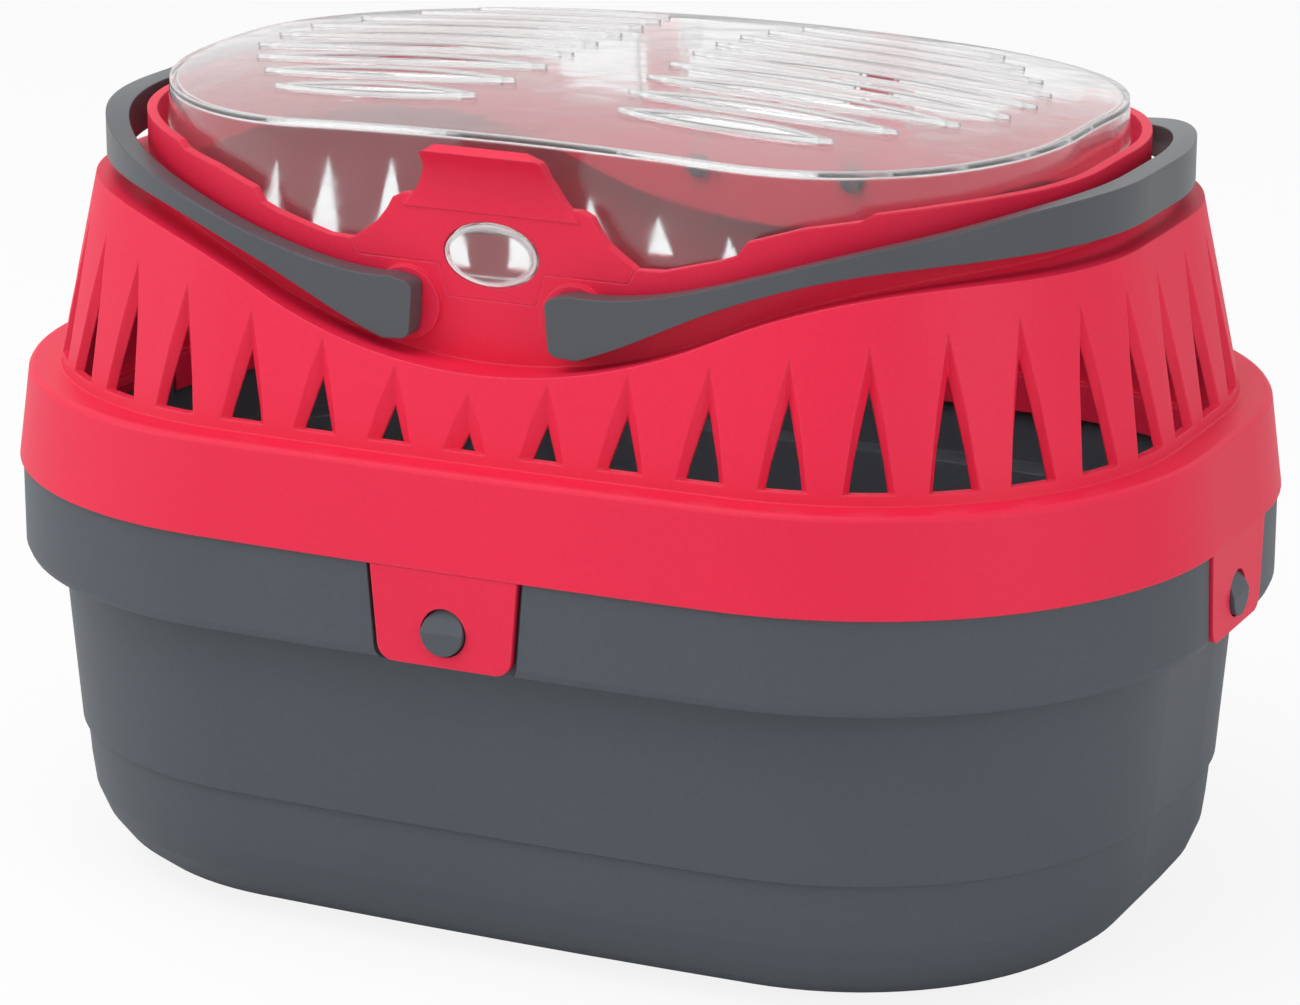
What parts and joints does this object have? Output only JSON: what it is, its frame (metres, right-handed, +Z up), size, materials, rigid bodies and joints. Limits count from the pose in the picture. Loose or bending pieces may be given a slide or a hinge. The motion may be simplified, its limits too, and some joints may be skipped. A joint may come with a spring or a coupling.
{
  "type": "small pet carrier",
  "caption": "Oval two-part small animal carrier with fluted vents, a hinged clear domed lid with air slots, a latch tongue, clip tabs and folding carrying handles.",
  "frame": {"origin": "middle of the flat base, on the surface it stands on", "axes": "+X along the long side to the right-hand handle, -Y to the latch at the front, +Z up"},
  "size_m": [0.3018, 0.2118, 0.1996],
  "materials": {
    "tub_grey": "satin",
    "hood_red": "satin",
    "lid_clear": "gloss",
    "handle_grey": "satin"
  },
  "bodies": {
    "tub": {"tub": "tub_grey"},
    "hood": {"hood": "hood_red"},
    "lid": {"lid": "lid_clear"},
    "latch": {"latch_tongue": "hood_red"},
    "handle_right": {"handle_right": "handle_grey"},
    "handle_left": {"handle_left": "handle_grey"},
    "clip_front": {"clip_tab_front": "hood_red"},
    "clip_back": {"clip_tab_back": "hood_red"},
    "clip_left": {"clip_tab_left": "hood_red"},
    "clip_right": {"clip_tab_right": "hood_red"}
  },
  "joints": [
    {"name": "hood_lift", "type": "slide", "parent": "tub", "child": "hood", "axis": [0, 0, 1], "range_m": [0, 0.13]},
    {"name": "lid_hinge", "type": "hinge", "parent": "hood", "child": "lid", "pos_m": [0, 0.0765, 0.186], "axis": [1, 0, 0], "range_deg": [-105, 0]},
    {"name": "latch_flex", "type": "hinge", "parent": "hood", "child": "latch", "pos_m": [0, -0.0788, 0.1565], "axis": [1, 0, 0], "range_deg": [0, 9], "stiffness_Nm_per_rad": 3, "deforming": ["latch_tongue"]},
    {"name": "handle_right_swing", "type": "hinge", "parent": "hood", "child": "handle_right", "pos_m": [0.021, 0, 0.154], "axis": [0, -1, 0], "range_deg": [0, 75]},
    {"name": "handle_left_swing", "type": "hinge", "parent": "hood", "child": "handle_left", "pos_m": [-0.021, 0, 0.154], "axis": [0, 1, 0], "range_deg": [0, 75]},
    {"name": "clip_front_flex", "type": "hinge", "parent": "hood", "child": "clip_front", "pos_m": [0, -0.1037, 0.1], "axis": [-1, 0, 0], "range_deg": [0, 8], "stiffness_Nm_per_rad": 3, "deforming": ["clip_tab_front"]},
    {"name": "clip_back_flex", "type": "hinge", "parent": "hood", "child": "clip_back", "pos_m": [0, 0.1037, 0.1], "axis": [1, 0, 0], "range_deg": [0, 8], "stiffness_Nm_per_rad": 3, "deforming": ["clip_tab_back"]},
    {"name": "clip_left_flex", "type": "hinge", "parent": "hood", "child": "clip_left", "pos_m": [-0.1487, 0, 0.1], "axis": [0, 1, 0], "range_deg": [0, 8], "stiffness_Nm_per_rad": 3, "deforming": ["clip_tab_left"]},
    {"name": "clip_right_flex", "type": "hinge", "parent": "hood", "child": "clip_right", "pos_m": [0.1487, 0, 0.1], "axis": [0, -1, 0], "range_deg": [0, 8], "stiffness_Nm_per_rad": 3, "deforming": ["clip_tab_right"]}
  ]
}
